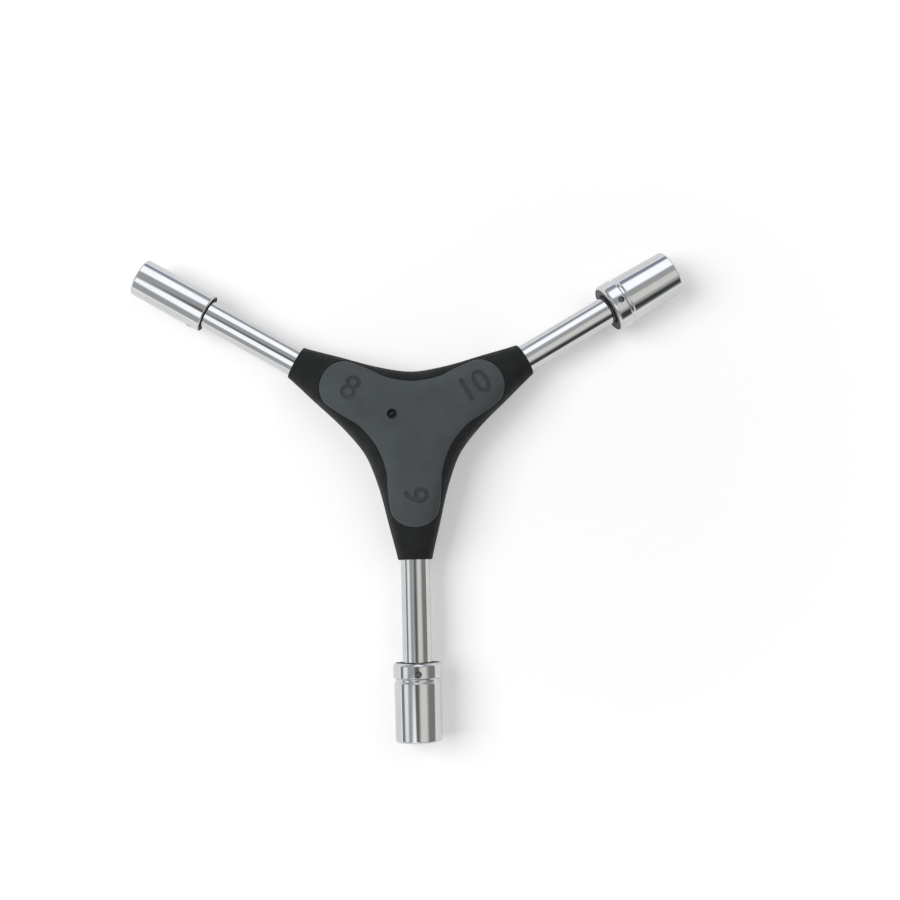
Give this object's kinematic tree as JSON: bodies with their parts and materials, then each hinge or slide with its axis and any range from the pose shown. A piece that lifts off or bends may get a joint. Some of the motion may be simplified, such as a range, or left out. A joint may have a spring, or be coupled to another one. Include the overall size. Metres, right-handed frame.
{
  "type": "y socket wrench",
  "caption": "Rigid Y-shaped socket wrench: chromed sockets for small hexagon nuts on round shafts, joined in a black moulded grip with a grey face.",
  "frame": {"origin": "on the grip's flat rear face, under the hub's centre", "axes": "+Z out of the grip's front face, -Y along the 9 mm arm, +X to the side of the 10 mm arm"},
  "size_m": [0.1616, 0.1406, 0.0175],
  "materials": {
    "chrome": "polished, with faint turning marks",
    "hub_steel": "machined",
    "pin_steel": "machined, dark in their holes",
    "grey_plastic": "hard nylon, fine matte grain",
    "black_rubber": "soft moulded skin, matte"
  },
  "bodies": {
    "root": {"socket_8mm": "chrome", "shaft_8mm": "chrome", "socket_pin_8mm": "pin_steel", "hub_pin_8mm": "pin_steel", "socket_9mm": "chrome", "shaft_9mm": "chrome", "socket_pin_9mm": "pin_steel", "hub_pin_9mm": "pin_steel", "socket_10mm": "chrome", "shaft_10mm": "chrome", "socket_pin_10mm": "pin_steel", "hub_pin_10mm": "pin_steel", "hub_core": "hub_steel", "grip_core": "grey_plastic", "grip_skin": "black_rubber"}
  },
  "joints": []
}
